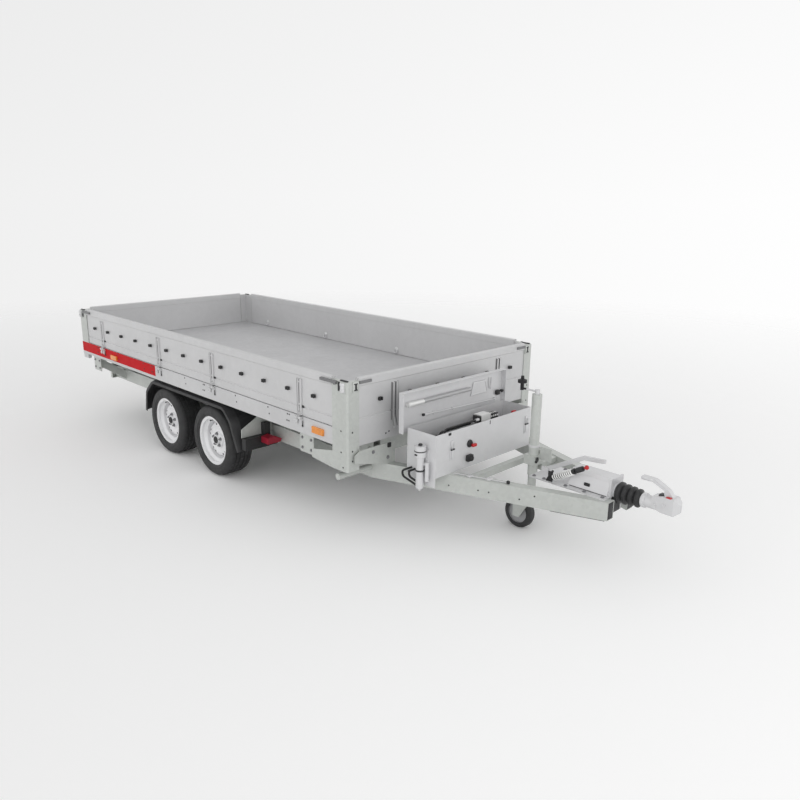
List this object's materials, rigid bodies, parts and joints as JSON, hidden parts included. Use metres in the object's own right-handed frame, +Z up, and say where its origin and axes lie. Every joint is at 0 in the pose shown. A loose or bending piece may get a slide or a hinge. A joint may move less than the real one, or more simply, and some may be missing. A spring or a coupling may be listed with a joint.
{
  "type": "tipper trailer",
  "caption": "Tandem-axle tipper trailer with drop sides, hydraulic pump box, overrun coupling and jockey wheel; bed tips to the rear.",
  "frame": {"origin": "middle of the bounding box on the ground, under the trailer", "axes": "+X forward to the coupling, +Y to the left, +Z up"},
  "size_m": [5.28, 1.802, 1],
  "materials": {
    "galvanised": "hot-dip galvanised, matt",
    "side_steel": "galvanised sheet, satin",
    "fitting_zinc": "zinc plated",
    "floor_steel": "galvanised sheet, matt",
    "black_plastic": "black moulded",
    "hose_rubber": "black",
    "box_steel": "zinc coated sheet",
    "signal_red": "red",
    "lamp_red": "red lens",
    "lamp_amber": "amber lens",
    "lamp_steel": "grey",
    "rim_silver": "silver",
    "tyre_rubber": "black",
    "ram_steel": "ground steel"
  },
  "bodies": {
    "chassis": {"chassis_beams": "galvanised", "cross_members": "galvanised", "ram_cheeks": "galvanised", "outriggers": "galvanised", "axle_tubes": "galvanised", "swing_arms": "galvanised", "mudguards": "black_plastic", "chock_holders": "black_plastic", "wheel_chocks": "signal_red", "overrun_housing": "fitting_zinc", "gaiter": "hose_rubber", "coupling_head": "fitting_zinc", "coupling_handle": "black_plastic", "handbrake_lever": "fitting_zinc", "brake_spring": "black_plastic", "jockey_clamp": "galvanised", "jockey_tube": "galvanised", "jockey_crank": "black_plastic", "pump_box": "box_steel", "power_pack": "black_plastic", "hand_pump": "fitting_zinc", "hydraulic_hoses": "hose_rubber", "lamp_bar": "lamp_steel", "tail_lamps": "lamp_red"},
    "bed": {"bed_floor": "floor_steel", "bed_bearers": "galvanised", "bed_runners": "galvanised", "bed_brackets": "galvanised", "side_rails": "side_steel", "end_rails": "side_steel", "corner_posts": "galvanised", "front_wall": "side_steel", "front_hooks": "black_plastic", "side_markers": "lamp_amber"},
    "left_side": {"left_panel": "side_steel", "left_fittings": "fitting_zinc", "left_hooks": "black_plastic"},
    "right_side": {"right_panel": "side_steel", "right_fittings": "fitting_zinc", "right_hooks": "black_plastic"},
    "tailgate": {"tail_panel": "side_steel", "tail_hooks": "black_plastic"},
    "lid": {"box_lid": "box_steel", "pump_lever": "fitting_zinc"},
    "jockey_inner": {"jockey_leg": "galvanised"},
    "jockey_caster": {"jockey_fork": "galvanised"},
    "jockey_roller": {"jockey_wheel": "tyre_rubber"},
    "ram_body": {"ram_barrel": "ram_steel"},
    "ram_a": {"ram_stage_a": "ram_steel"},
    "ram_b": {"ram_stage_b": "ram_steel"},
    "ram_c": {"ram_stage_c": "ram_steel"},
    "ram_d": {"ram_stage_d": "ram_steel"},
    "wheel_rear_left": {"tyre_rear_left": "tyre_rubber", "rim_rear_left": "rim_silver"},
    "wheel_rear_right": {"tyre_rear_right": "tyre_rubber", "rim_rear_right": "rim_silver"},
    "wheel_front_left": {"tyre_front_left": "tyre_rubber", "rim_front_left": "rim_silver"},
    "wheel_front_right": {"tyre_front_right": "tyre_rubber", "rim_front_right": "rim_silver"}
  },
  "joints": [
    {"name": "wheel_rear_left_spin", "type": "hinge", "parent": "chassis", "child": "wheel_rear_left", "pos_m": [-1.153, 0.7695, 0.2625], "axis": [0, 1, 0], "continuous": true},
    {"name": "wheel_rear_right_spin", "type": "hinge", "parent": "chassis", "child": "wheel_rear_right", "pos_m": [-1.153, -0.7695, 0.2625], "axis": [0, 1, 0], "continuous": true},
    {"name": "wheel_front_left_spin", "type": "hinge", "parent": "chassis", "child": "wheel_front_left", "pos_m": [-0.483, 0.7695, 0.2625], "axis": [0, 1, 0], "continuous": true},
    {"name": "wheel_front_right_spin", "type": "hinge", "parent": "chassis", "child": "wheel_front_right", "pos_m": [-0.483, -0.7695, 0.2625], "axis": [0, 1, 0], "continuous": true},
    {"name": "bed_tip", "type": "hinge", "parent": "chassis", "child": "bed", "pos_m": [-2.528, 0, 0.5], "axis": [0, -1, 0], "range_deg": [0, 45]},
    {"name": "left_side_drop", "type": "hinge", "parent": "bed", "child": "left_side", "pos_m": [-0.788, 0.892, 0.688], "axis": [-1, 0, 0], "range_deg": [0, 180]},
    {"name": "right_side_drop", "type": "hinge", "parent": "bed", "child": "right_side", "pos_m": [-0.788, -0.892, 0.688], "axis": [1, 0, 0], "range_deg": [0, 180]},
    {"name": "tailgate_swing", "type": "hinge", "parent": "bed", "child": "tailgate", "pos_m": [-2.613, 0, 0.972], "axis": [0, 1, 0], "range_deg": [0, 90]},
    {"name": "lid_close", "type": "hinge", "parent": "chassis", "child": "lid", "pos_m": [1.208, -0.102, 0.66], "axis": [0, 1, 0], "range_deg": [0, 90]},
    {"name": "jockey_raise", "type": "slide", "parent": "chassis", "child": "jockey_inner", "axis": [0, 0, 1], "range_m": [0, 0.15]},
    {"name": "jockey_swivel", "type": "hinge", "parent": "jockey_inner", "child": "jockey_caster", "pos_m": [1.674, 0.07, 0.0002], "axis": [0, 0, 1], "continuous": true},
    {"name": "jockey_spin", "type": "hinge", "parent": "jockey_caster", "child": "jockey_roller", "pos_m": [1.599, 0.07, 0.1], "axis": [0, 1, 0], "continuous": true},
    {"name": "ram_lean", "type": "hinge", "parent": "chassis", "child": "ram_body", "pos_m": [-0.818, 0, 0.4], "axis": [0, -1, 0], "range_deg": [0, 22.29]},
    {"name": "ram_extend_a", "type": "slide", "parent": "ram_body", "child": "ram_a", "axis": [0, 0, 1], "range_m": [0, 0.32378]},
    {"name": "ram_extend_b", "type": "slide", "parent": "ram_a", "child": "ram_b", "axis": [0, 0, 1], "range_m": [0, 0.32378]},
    {"name": "ram_extend_c", "type": "slide", "parent": "ram_b", "child": "ram_c", "axis": [0, 0, 1], "range_m": [0, 0.32378]},
    {"name": "ram_extend_d", "type": "slide", "parent": "ram_c", "child": "ram_d", "axis": [0, 0, 1], "range_m": [0, 0.32378]}
  ],
  "couplings": [
    {"joint": "ram_lean", "follows": "bed_tip", "ratio": 0.49506},
    {"joint": "ram_extend_a", "follows": "bed_tip", "m_per_rad": 0.41212},
    {"joint": "ram_extend_b", "follows": "bed_tip", "m_per_rad": 0.41212},
    {"joint": "ram_extend_c", "follows": "bed_tip", "m_per_rad": 0.41212},
    {"joint": "ram_extend_d", "follows": "bed_tip", "m_per_rad": 0.41212}
  ]
}
